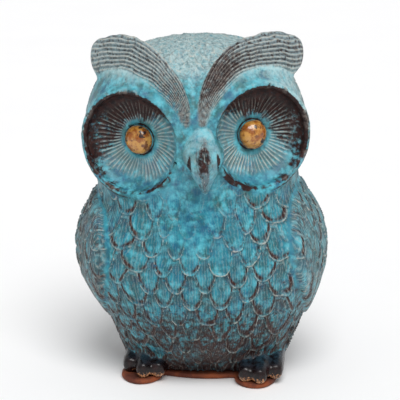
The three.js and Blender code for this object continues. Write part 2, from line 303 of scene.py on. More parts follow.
def dish_lip(radius, depth, angle):
    """The rounded rim of a facial disc, which thins out beside the beak."""
    thick = LIP_RADIUS - 2.2 * beside_beak(angle)
    return np.hypot(radius - DISC_RADIUS + 0.6, depth - 0.6) - thick


def beak_form(points):
    """A bulb between the discs that narrows to a hooked tip."""
    x, y, z = to_head(points).T
    up = (z - BEAK_MIDDLE_Z) / BEAK_HALF_HEIGHT
    low = smoothstep(-0.35, 1.05, -up)
    across = (x - BEAK_MIDDLE_X) / (BEAK_HALF_WIDTH * (1 - 0.62 * low))
    forward = (y + BEAK_SEAT + 2.2 * low) / (BEAK_REACH * (1 - 0.2 * low))
    return (np.sqrt(across ** 2 + forward ** 2 + up ** 2) - 1) * 6.5


def body_field(fields):
    """The body and head as one solid, with the CAD's facets and parting line gone."""
    shell = np.minimum(fields["front_shell"], fields["back_shell"])
    for side, sign in SIDES.items():
        window = window_round(f"facial_disc_{side}", DISC_MARGIN)
        points, shape = grid_points(window)
        radius, depth, _ = disc_polar(points, sign)
        plug = np.maximum(radius - DISC_RADIUS - 1.2, np.abs(depth - 8) - 8.6).reshape(shape)
        shell[window] = np.minimum(shell[window], plug)
    solid = shell < 0
    shell[enclosed(solid) & ~solid] = -1
    foot = int(round(BODY_FOOT / VOXEL)) - GRID_LOW[2]
    shell[:, :, :foot] = shell[:, :, foot:foot + 1]
    points, quads = surface(shell)
    return soften(grid_field(points, quads=quads.astype(np.uint32)), BODY_BLUR)


def figure_floor(y):
    """The height down to which the glaze runs: the slab's face, and a little over its edge at the toes."""
    return FIGURE_FLOOR - 1.8 * smoothstep(-29, -33, y)


def toes_field(fields, side):
    """A foot's three toes, run together and rounded by their glaze."""
    inner, middle, outer = (fields[f"toe_{side}_{place}"] for place in TOES)
    toes = join(join(inner, middle, TOE_FILLET), outer, TOE_FILLET)
    return soften(toes, TOE_BLUR) - TOE_SWELL


def owl_field(fields):
    """Everything under the glaze as one distance field, each joint with its own fillet."""
    form = body_field(fields)
    for name in ("tail", "wing_left", "wing_right"):
        form = join(form, fields[name], WING_FILLET)
    form = soften(form, WING_BLUR)
    for side in SIDES:
        form = join(form, soften(fields[f"brow_tuft_{side}"], TUFT_BLUR), TUFT_FILLET)
        form = join(form, toes_field(fields, side), FOOT_FILLET)
    for side, sign in SIDES.items():
        window = window_round(f"facial_disc_{side}", DISC_MARGIN)
        points, shape = grid_points(window)
        radius, depth, angle = disc_polar(points, sign)
        hollow = dish_hollow(radius, depth).reshape(shape)
        lip = dish_lip(radius, depth, angle).reshape(shape)
        fillet = (DISH_FILLET + DISH_FILLET_AT_BEAK * beside_beak(angle)).reshape(shape)
        form[window] = cut(form[window], hollow, fillet)
        form[window] = join(form[window], lip, LIP_FILLET)
    window = window_round("beak", BEAK_MARGIN)
    points, shape = grid_points(window)
    form[window] = join(form[window], beak_form(points).reshape(shape), BEAK_FILLET)
    return np.maximum(form, figure_floor(grid_places(1)) - grid_places(2))


# ---- relief

# A feather's outline is a superellipse; each is narrower than its cell by the spare factor.
FEATHER_POWER = 2.1
FEATHER_SPARE = 1.26
FEATHER_STRANDS = 4
# How far out across a feather its outline is followed before it would turn straight up.
FEATHER_CORNER = 0.995


def feathers(across, down, width, pitch, count, seed, tip=1.02):
    """Overlapping round-ended feathers. across counts cells, down counts rows from the top; width and pitch
    are a cell's and a row's size in mm. Returns the relief in mm and the masks it gives."""
    size = len(across)
    height, rim, hollow, thick, strand, inset = (np.zeros(size) for _ in range(6))
    beyond = np.full(size, FAR)
    free = np.ones(size, bool)
    for row in (np.floor(down) - 1, np.floor(down), np.floor(down) + 1):
        shifted = across + 0.5 * (row % 2)
        column = np.floor(shifted) % count
        luck = [scramble(column, row, seed=seed + k) for k in range(4)]
        u = (2 * (shifted - np.floor(shifted)) - 1) * FEATHER_SPARE + 0.3 * (luck[0] - 0.5)
        u = np.clip(u, -FEATHER_CORNER, FEATHER_CORNER)
        long = tip * (0.8 + 0.4 * luck[1])
        bow = 1 - np.abs(u) ** FEATHER_POWER
        edge = row + long * bow ** (1 / FEATHER_POWER)
        lean = long * pitch * np.abs(u) ** (FEATHER_POWER - 1) * bow ** (1 / FEATHER_POWER - 1) * 2 / width
        inside = (edge - down) * pitch / np.sqrt(1 + lean * lean)
        here = free & ((edge > down) | (row > down))
        free &= ~here
        beyond = np.where(free, np.minimum(beyond, -inside), beyond)
        inside = np.clip(inside[here], 0, None)
        bold = 0.35 + 0.95 * luck[2][here]
        under = np.exp(-np.clip(beyond[here], 0, None) / 0.9)
        stripe = np.cos(2 * math.pi * FEATHER_STRANDS * u[here]) * bell(inside, 3.5, 2.6)
        plate = 0.5 * np.exp(-inside / 4.5) + 0.5 * bell(inside, 0.6, 0.5) - 0.45 * bell(inside, 2.2, 1.0)
        height[here] = bold * plate * smoothstep(0, 0.4, inside) - 0.4 * under + 0.08 * stripe
        rim[here] = bold
        inset[here] = inside
        lopsided = np.where(luck[0][here] > 0.5, u[here], -u[here])
        pocket = bell(inside, 2.1, 1.1) * smoothstep(-0.15, 0.4, 0.75 * np.abs(u[here]) + 0.35 * lopsided)
        # Painted shadow: the feather just below an upper feather's rim is darkened brown through the hollow
        # mask, where the rim's overhang shades it.
        shade = 0.55 * under * smoothstep(2.2, 0.4, beyond[here])
        hollow[here] = np.maximum(1.15 * pocket * smoothstep(-0.1, 0.45, luck[3][here]), shade)
        thick[here] = smoothstep(3.5, 7.5, inside) * (0.5 + 0.5 * luck[2][here])
        strand[here] = FEATHER_STRANDS * u[here] + np.round(10 * luck[1][here])
    return height, {"crest": rim, "hollow": hollow, "thick": thick, "comb": strand, "inset": inset}


# Masks that carry lines: the comb lines' phase and the distance in from a feather's edge in mm.
UNBLENDED = ("comb", "inset")
ON_RIM = 0.5


def blend_masks(a, b, share):
    """Masks a where share is 0 and b where it is 1; those that carry lines come from the stronger one."""
    mixed = {key: a[key] * (1 - share) + b[key] * share for key in a}
    for key in UNBLENDED:
        mixed[key] = np.where(share > 0.5, b[key], a[key])
    return mixed


# Rings of feathers on the body and the head: feathers in a ring, the pitch of the rings in mm, and where
# the first ring lies.
BODY_FEATHERS = 21
BODY_PITCH = 9.4
BODY_TOP = 112
CROWN_FEATHERS = 30
CROWN_PITCH = 5.8
CROWN_RADIUS = 46
CROWN_TOP = 80


def body_relief(points):
    """Feathers on the belly, back and crown."""
    x, y, z = to_figure(points).T
    wander = 0.3 * noise(points, 20, 31) + 0.08 * noise(points, 6, 32)
    round_body = np.arctan2(x, -y)
    turn = round_body / (2 * math.pi) + 0.5
    girth = 2 * math.pi * np.hypot(x, y)
    low_height, low_masks = feathers(
        turn * BODY_FEATHERS + wander, (BODY_TOP - z) / BODY_PITCH + wander,
        girth / BODY_FEATHERS, BODY_PITCH, BODY_FEATHERS, 11)
    rise = np.arctan2(z - 140, np.hypot(x, y)) * CROWN_RADIUS
    top_height, top_masks = feathers(
        turn * CROWN_FEATHERS + wander, (CROWN_TOP - rise) / CROWN_PITCH + wander,
        np.clip(girth / CROWN_FEATHERS, 3, 9), CROWN_PITCH, CROWN_FEATHERS, 17)
    upper = smoothstep(112, 116, z)
    front = smoothstep(0, 0.35, np.cos(round_body))
    face = upper * front * (1 - smoothstep(160, 168, z))
    bib = bell(x, 2, 17) * smoothstep(64, 84, z) * (1 - upper) * front
    neck = smoothstep(98, 106, z) * (1 - upper) * front
    amount = (1 - 0.93 * face) * (1 - 0.85 * bib) * (1 - 0.6 * neck)
    masks = blend_masks(low_masks, top_masks, upper)
    on_top = smoothstep(150, 160, z) * smoothstep(25, 5, y)
    for key in ("crest", "hollow", "thick"):
        masks[key] = masks[key] * amount
    masks["hollow"] = masks["hollow"] * (1 - 0.6 * on_top)
    masks["strands"] = amount * (0.4 - 0.35 * upper)
    return (low_height * (1 - upper) + 0.6 * top_height * upper) * amount, masks


# A wing's small feathers lie in level rows; its flight feathers and the tail's are long lanes with barbs.
WING_FEATHER_WIDTH = 9.6
WING_FEATHER_PITCH = 8.2
WING_TOP = 110
FLIGHT_WIDTH = 6.2
TAIL_WIDTH = 4.2
BARB_PITCH = 1.9
# More cells than a wing is wide, so that its row of feathers never meets its own other end.
MANY = 997


def wing_relief(points):
    """Feathers on the shoulder of a folded wing and long flight feathers below them."""
    _, y, z = to_figure(points).T
    wander = 0.25 * noise(points, 13, 41)
    height, masks = feathers(
        y / WING_FEATHER_WIDTH + wander + 40, (WING_TOP - z) / WING_FEATHER_PITCH + wander,
        WING_FEATHER_WIDTH, WING_FEATHER_PITCH, MANY, 23)
    lengthwise = (y * 0.93 + z * 0.30) / FLIGHT_WIDTH + 0.12 * noise(points, 12, 43)
    share = lengthwise - np.floor(lengthwise)
    vane = 0.6 * np.sqrt(np.clip(1 - (2 * share - 1) ** 2, 0, 1)) + 0.2 * bell(share, 0.5, 0.07)
    seam = 1 - smoothstep(0.04, 0.24, np.minimum(share, 1 - share))
    flight = 1 - smoothstep(54, 60, z + 2.5 * noise(points, 10, 44))
    barbs = (z * 0.9 + 2.5 * np.abs(share - 0.5) * FLIGHT_WIDTH) / BARB_PITCH
    long_masks = {
        "crest": bell(share, 0.5, 0.09) * 0.7,
        "hollow": seam,
        "thick": 0 * share,
        "comb": barbs,
        "inset": np.full(len(points), ON_RIM),
    }
    masks = blend_masks(masks, long_masks, flight)
    masks["strands"] = 0.35 + 0.15 * flight
    return 0.7 * height * (1 - flight) + vane * flight, masks


def tail_relief(points):
    """Long feathers that fan out down the tail."""
    x, _, z = to_figure(points).T
    lane = x / (TAIL_WIDTH * (0.65 + 0.35 * smoothstep(42, 10, z))) + 0.5
    share = lane - np.floor(lane)
    vane = 0.8 * np.sqrt(np.clip(1 - (2 * share - 1) ** 2, 0, 1))
    seam = 1 - smoothstep(0.0, 0.16, np.minimum(share, 1 - share))
    barbs = (z + 4 * np.abs(share - 0.5)) / BARB_PITCH
    return vane, {
        "crest": bell(share, 0.5, 0.1),
        "hollow": seam,
        "comb": barbs,
        "strands": np.full(len(x), 0.4),
    }


DISC_RIBS = 54


def disc_relief(points, sign):
    """Radial ribs inside a facial disc, a smooth ring round the bead and a ragged, partly bare rim.
    The top of the dish is darkened, partly brown where the glaze ran off and partly painted shadow of the
    upper rim, and a painted shadow lies just outside the lower outer rim.
    """
    radius, depth, angle = disc_polar(points, sign)
    ragged = noise(points, 2.6, 81)
    streaky = noise(np.stack([angle * 26, radius * 0.4, depth * 0.4], 1), 1.7, 59)
    turn = (angle + 0.03 * noise(points, 6, 51)) * DISC_RIBS / (2 * math.pi)
    rib = 0.5 + 0.5 * np.cos(2 * math.pi * turn)
    which = np.round(turn) % DISC_RIBS
    luck = scramble(which, seed=53 + sign)
    inside = (radius < DISH_RADIUS + 0.6) & (depth > -1.5)
    sideways = np.abs(np.sin(angle))
    start = 10.0 + 1.6 * luck
    end = 17.5 + 3.2 * sideways + 2.5 * scramble(which, seed=57 + sign)
    span = smoothstep(start - 0.8, start + 0.8, radius) * (1 - smoothstep(end - 2, end + 2, radius)) * inside
    # The top of each dish is darkened: partly brown where the glaze ran off, partly painted shadow cast by
    # the upper rim. It darkens the rib grooves there too.
    off_top = np.abs(angle - math.radians(32))
    dark_from = DISH_RADIUS * (0.43 + 0.63 * smoothstep(math.radians(45), math.radians(110), off_top))
    dark = smoothstep(-4 - 5 * sideways, 3 + 3 * sideways, radius - dark_from + 2.6 * streaky)
    dark = dark * (radius < DISH_RADIUS + 0.8)
    lip = bell(radius, DISC_RADIUS - 0.6, 1.5) * bell(depth, 0, 2.4)
    outer_rim = smoothstep(math.radians(-75), math.radians(-45), angle) * (1 - smoothstep(2.6, 3.0, angle))
    bare_patch = bell(angle, math.radians(-145), math.radians(22)) * bell(radius, DISC_RADIUS - 0.6, 2.1)
    # Painted shadow: a dark band just outside the lower outer rim, where the rim overhangs the head.
    shadow_under_rim = smoothstep(DISC_RADIUS - 0.2, DISC_RADIUS + 1.0, radius) * smoothstep(1.4, 2.2, angle)
    moat = bell(radius, 7.7, 0.6)
    bold = 0.55 + 0.6 * luck
    raised = rib ** 1.6 * span * bold * smoothstep(10.5, 13, radius)
    height = 0.8 * raised + 0.3 * bell(radius, 9.4, 1.2) - 0.5 * moat
    height += 0.5 * streaky * lip * outer_rim + 0.5 * ragged * bare_patch
    shadow = 0.85 * dark * inside * (1 - 0.15 * span) * (1 - 0.24 * smoothstep(0.6, 1, sideways))
    chipped = bare_patch * (0.6 + ragged) + 0.6 * lip * outer_rim * (0.7 + 0.6 * ragged)
    # Besides real bare and burnt glaze, burnt here carries painted shadow in the top of the dish and under
    # the lower rim.
    return height, {
        "crest": 0.5 * lip * outer_rim * (ragged > 0.1),
        "hollow": (0.34 + 0.66 * dark) * span,
        "burnt": np.maximum(shadow, 0.8 * moat) + chipped + 0.7 * shadow_under_rim,
        "pool": 0.45 * smoothstep(17, 22, radius) * smoothstep(0.1, -0.6, np.cos(angle)) * inside,
        "pale": 0.26 * span * (1 - dark) * inside,
        "comb": turn,
        "strands": 0.9 * span * bold,
    }


TUFT_PATH = ((3.6, -47.5, 139.5), (6.6, -45.5, 151), (13, -40, 160), (22.5, -31, 167.5))
TUFT_ENDS = {"left": (55.0, -4.5), "right": (50.0, -1.0)}
TUFT_BEND = 16.0
TUFT_HEIGHT = 170.0
TUFT_COMBS = 12


def tuft_path(side):
    """The middle of a brow ridge in the head's frame, as a fine chain of points."""
    reach, rise = TUFT_ENDS[side]
    bend = (reach - TUFT_BEND, -17.5, TUFT_HEIGHT + 1 + rise / 2)
    spots = np.array([*TUFT_PATH, bend, (reach, -6, TUFT_HEIGHT + rise)], float)
    spots[:, 0] *= SIDES[side]
    chain = np.concatenate([[2 * spots[0] - spots[1]], spots, [2 * spots[-1] - spots[-2]]])
    steps = np.linspace(0, 1, 14, endpoint=False)[:, None]
    parts = []
    for a, b, c, d in zip(chain, chain[1:], chain[2:], chain[3:]):
        parts.append(0.5 * (2 * b + (c - a) * steps + (2 * a - 5 * b + 4 * c - d) * steps ** 2
                            + (3 * b - a - 3 * c + d) * steps ** 3))
    return np.concatenate(parts + [spots[-1:]])


def tuft_relief(points, side):
    """Combed grooves that run along a brow ridge and fan out into the ear tuft."""
    head = to_head(points)
    path = tuft_path(side)
    gaps = np.sum((head[:, None, :] - path[None]) ** 2, 2)
    nearest = np.argmin(gaps, 1)
    t = nearest / (len(path) - 1)
    tangent = np.gradient(path, axis=0)
    tangent /= np.linalg.norm(tangent, axis=1)[:, None]
    outward = np.stack([np.full(len(path), SIDES[side] * 0.15), np.full(len(path), -1.0),
                        0.6 - 0.45 * np.linspace(0, 1, len(path))], 1)
    wide = np.cross(tangent, outward)
    wide /= np.linalg.norm(wide, axis=1)[:, None]
    half = 2.2 + 11.4 * smoothstep(-0.15, 1, t)
    across = np.sum((head - path[nearest]) * wide[nearest], 1) / half
    wavy = across + 0.05 * noise(points, 9, 61) + 0.035 * noise(points, 3.5, 62)
    turn = wavy * TUFT_COMBS / 2
    comb = 0.5 + 0.5 * np.cos(2 * math.pi * turn)
    luck = scramble(np.round(turn), seed=67)
    deep = smoothstep(0.03, 0.3, t)
    lower = smoothstep(0.25, 0.7, across * np.sign(wide[nearest][:, 2]) * -1)
    wear = 1.0 if side == "left" else 0.6
    brown = 0.68 * wear ** 2 * bell(t, 0.4, 0.3) * (1 - lower)
    return (0.9 * comb - 0.45) * deep * (0.6 + 0.8 * luck) * (1 - smoothstep(0.86, 1, t)), {
        "crest": 0.9 * smoothstep(0.7, 1.0, comb) * (0.35 + 0.65 * luck),
        "hollow": smoothstep(0.3, 0.9, 1 - comb) * (0.4 + 0.5 * luck) * (1 - 0.6 * lower) * wear
        * (1 - 0.35 * smoothstep(0.5, 0.8, t)),
        "burnt": brown,
        "thin": 0.45 * wear * (1 - lower),
        # The owl's left tuft is paler all over: partly a paler glaze, partly painted light on the side the
        # sun falls on.
        "pale": np.full(len(points), 0.35 if side == "left" else 0.0),
        "comb": turn,
        "strands": np.full(len(points), 0.62),
    }


# ---- sharing out the surface

def vertex_normals(points, quads):
    a, b, c, d = (points[quads[:, k]] for k in range(4))
    face = np.cross(c - a, d - b)
    normals = np.zeros_like(points)
    for k in range(4):
        for axis in range(3):
            normals[:, axis] += np.bincount(quads[:, k], face[:, axis], len(points))
    return normals / np.maximum(np.linalg.norm(normals, axis=1), 1e-9)[:, None]


def even_out(values, quads, rounds):
    """Averages vertex values with their neighbours along the quads' edges."""
    pairs = np.concatenate([quads[:, [k, (k + 1) % 4]] for k in range(4)])
    start, stop = np.concatenate([pairs, pairs[:, ::-1]]).T
    count = np.maximum(np.bincount(start, minlength=len(values)), 1)
    values = np.array(values, float)
    flat = values.reshape(len(values), -1)
    for _ in range(rounds):
        for column in range(flat.shape[1]):
            total = np.bincount(start, flat[stop, column], len(values))
            flat[:, column] = 0.5 * flat[:, column] + 0.5 * total / count
    return flat.reshape(values.shape)


def make_mesh(name, points, faces, attributes, normals=None, materials=()):
    """A Blender mesh from points in mm and quads, with float attributes and given vertex normals."""
    mesh = bpy.data.meshes.new(name)
    mesh.vertices.add(len(points))
    mesh.vertices.foreach_set("co", (points * MM).astype(np.float32).ravel())
    mesh.loops.add(faces.size)
    mesh.loops.foreach_set("vertex_index", faces.astype(np.int32).ravel())
    mesh.polygons.add(len(faces))
    mesh.polygons.foreach_set("loop_start", np.arange(0, faces.size, 4, dtype=np.int32))
    mesh.update(calc_edges=True)
    mesh.polygons.foreach_set("use_smooth", np.ones(len(faces), bool))
    for key, values in attributes.items():
        layer = mesh.attributes.new(key, "FLOAT", "POINT")
        layer.data.foreach_set("value", values.astype(np.float32))
    if normals is not None:
        mesh.normals_split_custom_set(normals.astype(np.float32).reshape(-1, 3))
    for material in materials:
        mesh.materials.append(material)
    piece = bpy.data.objects.new(name, mesh)
    bpy.context.scene.collection.objects.link(piece)
    return piece


def closed_patch(name, points, quads, shading, inward, mine, attributes, thickness, material):
    """Closes the quads in mine into a thin-walled solid: an outer face, an inner face and walls between."""
    outer = quads[mine]
    used, outer = np.unique(outer, return_inverse=True)
    outer = outer.reshape(-1, 4)
    count = len(used)
    skin = points[used]
    lining = skin + inward[used] * thickness
    edges = np.concatenate([outer[:, [k, (k + 1) % 4]] for k in range(4)])
    keys = edges[:, 0] * count + edges[:, 1]
    back = edges[:, 1] * count + edges[:, 0]
    rim = edges[~np.isin(keys, back)]
    walls = np.stack([rim[:, 1], rim[:, 0], rim[:, 0] + count, rim[:, 1] + count], 1)
    faces = np.concatenate([outer, outer[:, ::-1] + count, walls])
    every = np.concatenate([skin, lining])
    a, b, c, d = (every[walls[:, k]] for k in range(4))
    flat = np.cross(c - a, d - b)
    flat /= np.maximum(np.linalg.norm(flat, axis=1), 1e-9)[:, None]
    shown = shading[used]
    loops = np.concatenate([
        shown[outer].reshape(-1, 3), -shown[outer[:, ::-1]].reshape(-1, 3), np.repeat(flat, 4, 0)])
    kept = {key: np.concatenate([values[used]] * 2) for key, values in attributes.items()}
    return make_mesh(name, every, faces, kept, loops, [material])


# ---- materials

class Nodes:
    """Short names for the node-building calls that every material here repeats."""

    def __init__(self, name):
        self.material = bpy.data.materials.new(name)
        self.material.use_nodes = True
        self.tree = self.material.node_tree
        self.shader = self.tree.nodes["Principled BSDF"]
        self.place = self.tree.nodes.new("ShaderNodeTexCoord").outputs["Object"]

    def link(self, source, target):
        self.tree.links.new(source, target)

    def attribute(self, name):
        node = self.tree.nodes.new("ShaderNodeAttribute")
        node.attribute_name = name
        return node.outputs["Fac"]

    def noise(self, size_mm, detail=3.0, rough=0.55, stretch=(1, 1, 1)):
        """Noise from 0 to 1 whose blobs are about size_mm across, longer where stretch is over 1."""
        mapping = self.tree.nodes.new("ShaderNodeMapping")
        mapping.inputs["Scale"].default_value = [1 / s for s in stretch]
        self.link(self.place, mapping.inputs["Vector"])
        node = self.tree.nodes.new("ShaderNodeTexNoise")
        node.inputs["Scale"].default_value = 1 / (size_mm * MM)
        node.inputs["Detail"].default_value = detail
        node.inputs["Roughness"].default_value = rough
        self.link(mapping.outputs["Vector"], node.inputs["Vector"])
        return node.outputs["Fac"]

    def math(self, operation, a, b=0.0, clamp=False, third=0.0):
        node = self.tree.nodes.new("ShaderNodeMath")
        node.operation = operation
        node.use_clamp = clamp
        for socket, value in zip(node.inputs, (a, b, third)):
            if isinstance(value, (int, float)):
                socket.default_value = value
            else:
                self.link(value, socket)
        return node.outputs["Value"]

    def ramp(self, value, low, high):
        """0 below low, 1 above high and smooth between."""
        node = self.tree.nodes.new("ShaderNodeMapRange")
        node.interpolation_type = "SMOOTHSTEP"
        node.inputs["From Min"].default_value = low
        node.inputs["From Max"].default_value = high
        self.link(value, node.inputs["Value"])
        return node.outputs["Result"]

    def mix(self, share, a, b):
        node = self.tree.nodes.new("ShaderNodeMix")
        node.data_type = "RGBA"
        if isinstance(share, (int, float)):
            node.inputs["Factor"].default_value = share
        else:
            self.link(share, node.inputs["Factor"])
        for socket, value in zip((node.inputs[6], node.inputs[7]), (a, b)):
            if isinstance(value, tuple):
                socket.default_value = value
            else:
                self.link(value, socket)
        return node.outputs[2]

    def bump(self, heights, distance_mm):
        """Bump from several (height, strength) pairs."""
        normal = None
        for height, strength in heights:
            node = self.tree.nodes.new("ShaderNodeBump")
            node.inputs["Strength"].default_value = strength
            node.inputs["Distance"].default_value = distance_mm * MM
            self.link(height, node.inputs["Height"])
            if normal:
                self.link(normal, node.inputs["Normal"])
            normal = node.outputs["Normal"]
        self.link(normal, self.shader.inputs["Normal"])

    def finish(self, colour, roughness):
        self.link(colour, self.shader.inputs["Base Color"])
        if isinstance(roughness, float):
            self.shader.inputs["Roughness"].default_value = roughness
        else:
            self.link(roughness, self.shader.inputs["Roughness"])
        return self.material


def srgb(red, green, blue):
    """A colour given as 0 to 255 screen values."""
    shares = [value / 255 for value in (red, green, blue)]
    linear = [v / 12.92 if v <= 0.04045 else ((v + 0.055) / 1.055) ** 2.4 for v in shares]
    return (*linear, 1.0)


TURQUOISE = srgb(42, 138, 156)
DEEP_BLUE = srgb(12, 88, 122)
TEAL = srgb(32, 100, 105)
LIGHT_TURQUOISE = srgb(90, 186, 202)
PALE_CROWN = srgb(184, 212, 214)
THIN_GREY = srgb(68, 70, 78)
THIN_TEAL = srgb(46, 86, 92)
PALE = srgb(190, 190, 181)
BROWN = srgb(60, 31, 27)
UMBER = srgb(44, 26, 27)
BURNT = srgb(26, 12, 13)


def glaze_material():
    """Turquoise glaze that pools blue, breaks thin and grey over relief, and burns to brown where bare.
    Its browns also carry painted shadow under feather and disc rims and in the top of each dish, and painted
    shade low on the body; its pale also carries painted light on the crown and the owl's left temple and
    tuft.
    """
    n = Nodes("turquoise_glaze")
    thin, crest, hollow, burnt, pool, thick, comb, inset, strands, pale = (n.attribute(name) for name in (
        "thin", "crest", "hollow", "burnt", "pool", "thick", "comb", "inset", "strands", "pale"))
    fine = n.noise(2.2, 4, 0.65)
    drip = n.noise(1.6, 3, 0.6, stretch=(1, 1, 3))
    hair = n.noise(0.75, 2, 0.5, stretch=(1, 1, 6))
    unruly = n.math("MULTIPLY", n.math("SUBTRACT", n.noise(2.6, 3, 0.6), 0.5), 1.5)
    unruly = n.math("MULTIPLY", unruly, n.ramp(strands, 0.55, 0.35))
    phase = n.math("MULTIPLY", n.math("ADD", comb, unruly), 2 * math.pi)
    line = n.math("MULTIPLY_ADD", n.math("COSINE", phase), 0.5, third=0.5)

    colour = n.mix(n.ramp(n.noise(11, 4), 0.38, 0.6), TURQUOISE, TEAL)
    colour = n.mix(n.ramp(n.noise(7, 5, 0.6), 0.46, 0.7), colour, DEEP_BLUE)
    colour = n.mix(n.math("MULTIPLY", n.ramp(n.noise(4.5, 4, 0.6), 0.42, 0.68), 0.9), colour, LIGHT_TURQUOISE)
    colour = n.mix(n.math("MULTIPLY", thick, 0.35), colour, TURQUOISE)
    colour = n.mix(n.math("MULTIPLY", pool, n.ramp(n.noise(6, 3), 0.4, 0.62)), colour, DEEP_BLUE)
    # The pale mask is partly a paler glaze and partly painted light on the crown and on the owl's left temple
    # and tuft.
    colour = n.mix(n.math("MULTIPLY", pale, n.ramp(fine, 0.2, 0.6), True), colour, PALE_CROWN)

    covering = n.math("SUBTRACT", thin, n.math("MULTIPLY", thick, 0.25))
    broken = n.math("ADD", covering, n.math("MULTIPLY", n.math("SUBTRACT", drip, 0.5), 1.6))
    thin_colour = n.mix(n.ramp(drip, 0.42, 0.6), THIN_TEAL, THIN_GREY)
    thin_colour = n.mix(n.math("MULTIPLY", pale, 0.85, True), thin_colour, srgb(146, 166, 172))
    colour = n.mix(n.math("MULTIPLY", n.ramp(broken, 0.2, 0.85), 0.9), colour, thin_colour)
    speckle = n.math("MULTIPLY", covering, n.ramp(n.noise(1.3, 5, 0.7, stretch=(1, 1, 2.2)), 0.46, 0.62))
    colour = n.mix(n.math("MULTIPLY", speckle, 1.1, True), colour, UMBER)
    uneven = n.math("ADD", fine, n.math("MULTIPLY", thin, 0.25))
    # Brown in the grooves and feather pockets: the glaze's own brown, and painted shadow below feather rims
    # and in the top of each dish.
    groove_brown_and_shade = n.math("MULTIPLY", hollow, n.ramp(uneven, 0.34, 0.52))
    groove_brown_and_shade = n.math("MULTIPLY", groove_brown_and_shade, n.math("SUBTRACT", 1.0, n.math("MULTIPLY", line, strands)))
    colour = n.mix(n.math("MULTIPLY", groove_brown_and_shade, 1.7, True), colour, n.mix(n.ramp(drip, 0.4, 0.6), BROWN, UMBER))

    # Burnt brown where the glaze is bare; through the burnt mask this also paints shadow under the disc rims,
    # in the top of each dish and low on the body.
    edge = n.math("ADD", burnt, n.math("MULTIPLY", n.math("SUBTRACT", n.noise(2.6, 5, 0.65), 0.5), 1.5))
    bare = n.ramp(edge, 0.26, 0.66)
    colour = n.mix(bare, colour, n.mix(n.ramp(fine, 0.35, 0.7), BURNT, BROWN))
    stripe = n.math("MULTIPLY", n.ramp(line, 0.58, 0.98), n.ramp(n.noise(1.7, 4, 0.6), 0.34, 0.52))
    stripe = n.math("MULTIPLY", stripe, n.math("SUBTRACT", 1.0, n.math("MULTIPLY", bare, 0.72)))
    colour = n.mix(n.math("MULTIPLY", n.math("MULTIPLY", stripe, strands), 0.85, True), colour, PALE)
    wisp = n.math("MULTIPLY", n.ramp(hair, 0.6, 0.7), n.math("MULTIPLY_ADD", thin, 0.6, third=0.06))
    wisp = n.math("MULTIPLY", wisp, n.math("SUBTRACT", 1.0, strands))
    colour = n.mix(wisp, colour, PALE)
    on_rim = n.math("MULTIPLY", n.ramp(inset, 0.05, 0.35), n.ramp(inset, 1.15, 0.7))
    ridge = n.math("MULTIPLY", n.math("MULTIPLY", crest, on_rim), n.ramp(n.noise(2.2, 4, 0.7), 0.4, 0.6))
    ridge = n.math("MULTIPLY", ridge, n.math("SUBTRACT", 0.78, n.math("MULTIPLY", bare, 0.3)))
    colour = n.mix(ridge, colour, PALE)
    ribbed = n.math("MULTIPLY", line, strands)
    n.bump([(ribbed, 0.5), (hair, 0.2), (n.noise(0.7, 3), 0.25), (n.noise(3.5, 3), 0.35)], 0.4)
    rough = n.math("ADD", 0.3, n.math("MULTIPLY", fine, 0.28))
    n.shader.inputs["Specular IOR Level"].default_value = 0.25
    n.shader.inputs["Coat Weight"].default_value = 0.03
    n.shader.inputs["Coat Roughness"].default_value = 0.15
    return n.finish(colour, rough)


def toe_material():
    """Glossy brown-black glaze with turquoise runs and bare cream clay where the toes rub."""
    n = Nodes("dark_toe_glaze")
    run = n.noise(3.0, 4, 0.6, stretch=(1, 1, 2.5))
    fine = n.noise(1.0, 4, 0.7)
    colour = n.mix(n.ramp(run, 0.4, 0.7), srgb(14, 5, 6), srgb(38, 16, 15))
    colour = n.mix(n.math("MULTIPLY", n.attribute("runs"), n.ramp(run, 0.35, 0.6)), colour, srgb(34, 76, 92))
    worn = n.math("ADD", n.attribute("worn"), n.math("MULTIPLY", n.math("SUBTRACT", fine, 0.5), 1.6))
    colour = n.mix(n.ramp(worn, 0.62, 0.82), colour, srgb(186, 132, 92))
    n.bump([(fine, 0.3), (n.noise(3.0, 3), 0.4)], 0.3)
    n.shader.inputs["Specular IOR Level"].default_value = 0.3
    n.shader.inputs["Coat Weight"].default_value = 0.15
    n.shader.inputs["Coat Roughness"].default_value = 0.12
    return n.finish(colour, n.math("ADD", 0.18, n.math("MULTIPLY", fine, 0.2)))


def clay_material():
    """Bare red-brown clay with a darker fired skin, grog specks and scratches."""
    n = Nodes("raw_clay")
    broad = n.noise(9, 4)
    grain = n.noise(0.8, 5, 0.75)
    colour = n.mix(n.ramp(broad, 0.35, 0.65), srgb(92, 38, 18), srgb(140, 68, 30))
    colour = n.mix(n.math("MULTIPLY", n.ramp(grain, 0.55, 0.7), 0.6), colour, srgb(48, 24, 18))
    colour = n.mix(n.math("MULTIPLY", n.attribute("burnt"), 0.85, True), colour, srgb(34, 17, 13))
    n.bump([(grain, 0.5), (n.noise(4, 4, 0.6, stretch=(3, 3, 1)), 0.5)], 0.5)
    return n.finish(colour, n.math("ADD", 0.62, n.math("MULTIPLY", grain, 0.3)))


